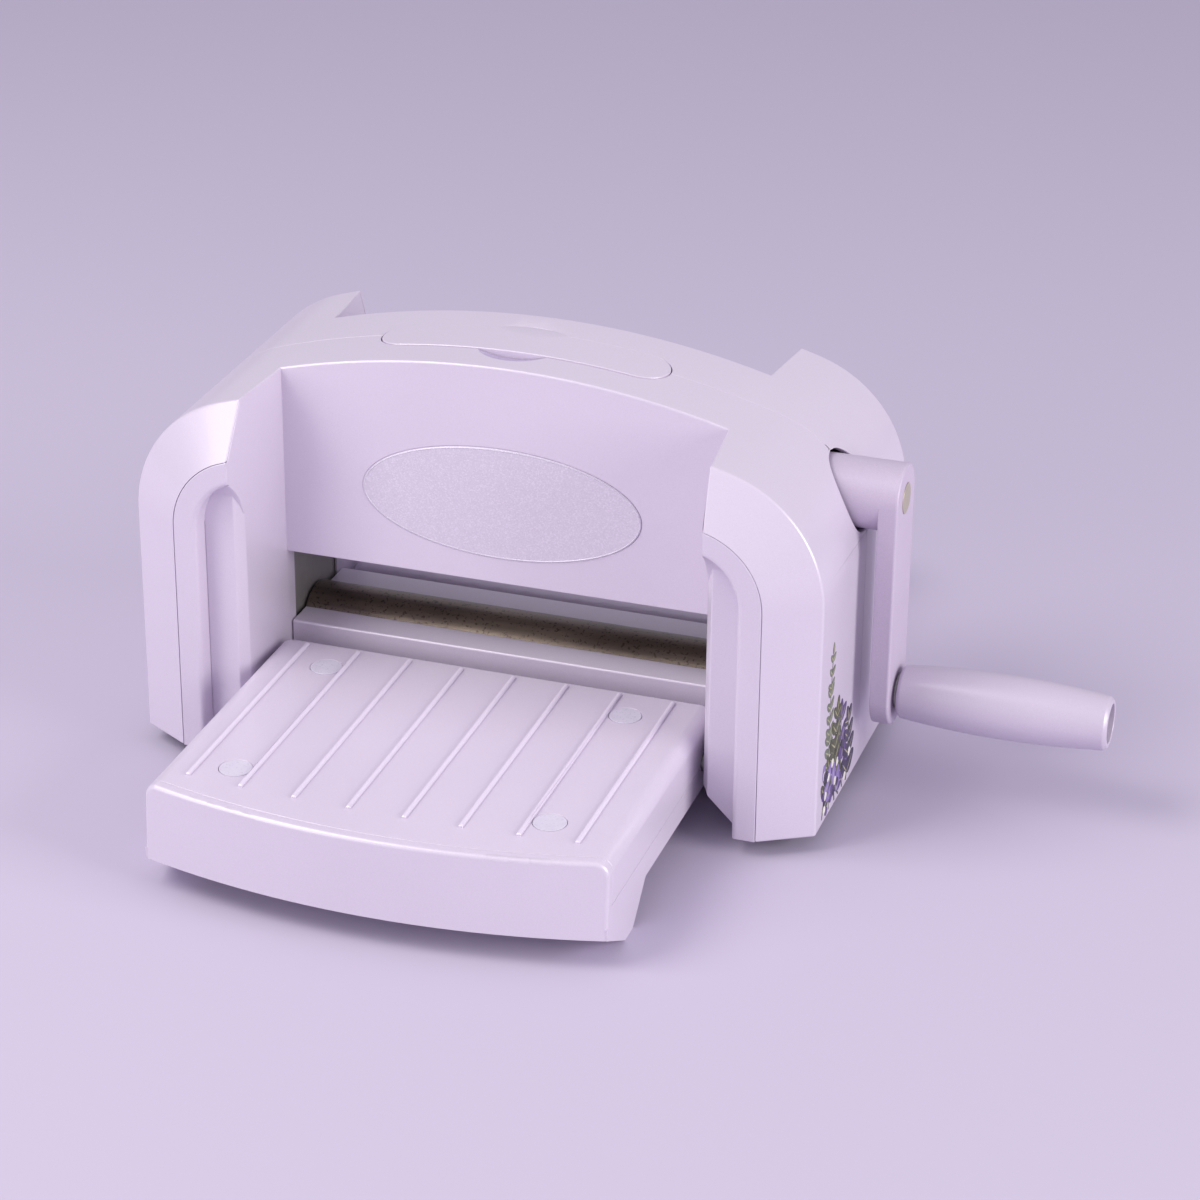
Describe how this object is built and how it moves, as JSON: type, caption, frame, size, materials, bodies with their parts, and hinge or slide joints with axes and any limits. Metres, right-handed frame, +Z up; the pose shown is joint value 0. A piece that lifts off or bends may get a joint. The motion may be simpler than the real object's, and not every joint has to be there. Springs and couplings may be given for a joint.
{
  "type": "die cutting machine",
  "caption": "Hand-cranked tabletop die cutting machine: arched housing, geared rollers in a feed slot, folding ribbed trays front and rear, side crank and lift-up carry handle.",
  "frame": {"origin": "middle of the overall box on the table plane, with both trays down and the crank hanging; the housing's own middle plane is 43.75 mm to -X of it", "axes": "+X to the crank side, +Y to the rear, +Z up"},
  "size_m": [0.3326, 0.3186, 0.1479],
  "materials": {
    "lilac_plastic": "pearl lilac satin moulding",
    "lilac_paint": "pearl lilac coat to match the mouldings",
    "badge_silver": "frosted silver foil, left blank",
    "base_plastic": "fine-grained dark lilac",
    "foot_rubber": "matt black",
    "screw_steel": "zinc plated",
    "plate_steel": "rolled grey steel",
    "cap_steel": "turned face",
    "bush_bronze": "sintered bronze",
    "gear_iron": "oiled, dark",
    "roller_steel": "dark oiled steel with mottled patches",
    "pad_clear": "soft clear disc"
  },
  "bodies": {
    "housing": {"front_shell": "lilac_plastic", "rear_shell": "lilac_plastic", "front_fascia": "lilac_plastic", "rear_fascia": "lilac_plastic", "badge_plate": "badge_silver", "handle_well": "lilac_plastic", "base_plate": "base_plastic", "rubber_feet": "foot_rubber", "base_screws": "screw_steel", "left_side_plate": "plate_steel", "right_side_plate": "plate_steel", "tie_rods": "plate_steel", "tie_nuts": "screw_steel", "gear_plate": "plate_steel", "gear_standoffs": "plate_steel", "roller_bushes": "bush_bronze", "crank_bushes": "bush_bronze", "front_sill": "lilac_plastic", "rear_sill": "lilac_plastic", "front_hinge_pins": "screw_steel", "rear_hinge_pins": "screw_steel"},
    "handle": {"carry_handle": "lilac_plastic", "handle_legs": "plate_steel", "handle_stops": "screw_steel"},
    "crank": {"crank_arm": "lilac_paint", "crank_shaft": "plate_steel", "crank_pinion": "gear_iron", "arm_cap": "cap_steel", "grip_spindle": "plate_steel"},
    "grip": {"crank_grip": "lilac_plastic"},
    "upper_roll": {"upper_roller": "roller_steel", "drive_gear": "gear_iron", "upper_timing_gear": "gear_iron"},
    "lower_roll": {"lower_roller": "roller_steel", "lower_timing_gear": "gear_iron"},
    "front_tray": {"front_deck": "lilac_plastic", "front_tray_base": "lilac_plastic", "front_pads": "pad_clear"},
    "rear_tray": {"rear_deck": "lilac_plastic", "rear_tray_base": "lilac_plastic", "rear_pads": "pad_clear"}
  },
  "joints": [
    {"name": "handle_lift", "type": "slide", "parent": "housing", "child": "handle", "axis": [0, 0, 1], "range_m": [0, 0.0285]},
    {"name": "crank_spin", "type": "hinge", "parent": "housing", "child": "crank", "pos_m": [0.06625, 0, 0.1096], "axis": [1, 0, 0], "continuous": true},
    {"name": "grip_spin", "type": "hinge", "parent": "crank", "child": "grip", "pos_m": [0.12625, 0, 0.0372], "axis": [1, 0, 0], "continuous": true},
    {"name": "upper_roll_spin", "type": "hinge", "parent": "housing", "child": "upper_roll", "pos_m": [-0.04375, 0, 0.0736], "axis": [1, 0, 0], "continuous": true},
    {"name": "lower_roll_spin", "type": "hinge", "parent": "housing", "child": "lower_roll", "pos_m": [-0.04375, 0, 0.02985], "axis": [1, 0, 0], "continuous": true},
    {"name": "front_tray_fold", "type": "hinge", "parent": "housing", "child": "front_tray", "pos_m": [-0.04375, -0.044, 0.022], "axis": [-1, 0, 0], "range_deg": [0, 90]},
    {"name": "rear_tray_fold", "type": "hinge", "parent": "housing", "child": "rear_tray", "pos_m": [-0.04375, 0.044, 0.022], "axis": [1, 0, 0], "range_deg": [0, 90]}
  ],
  "couplings": [
    {"joint": "upper_roll_spin", "follows": "crank_spin", "ratio": -0.33333},
    {"joint": "lower_roll_spin", "follows": "crank_spin", "ratio": 0.33333}
  ]
}
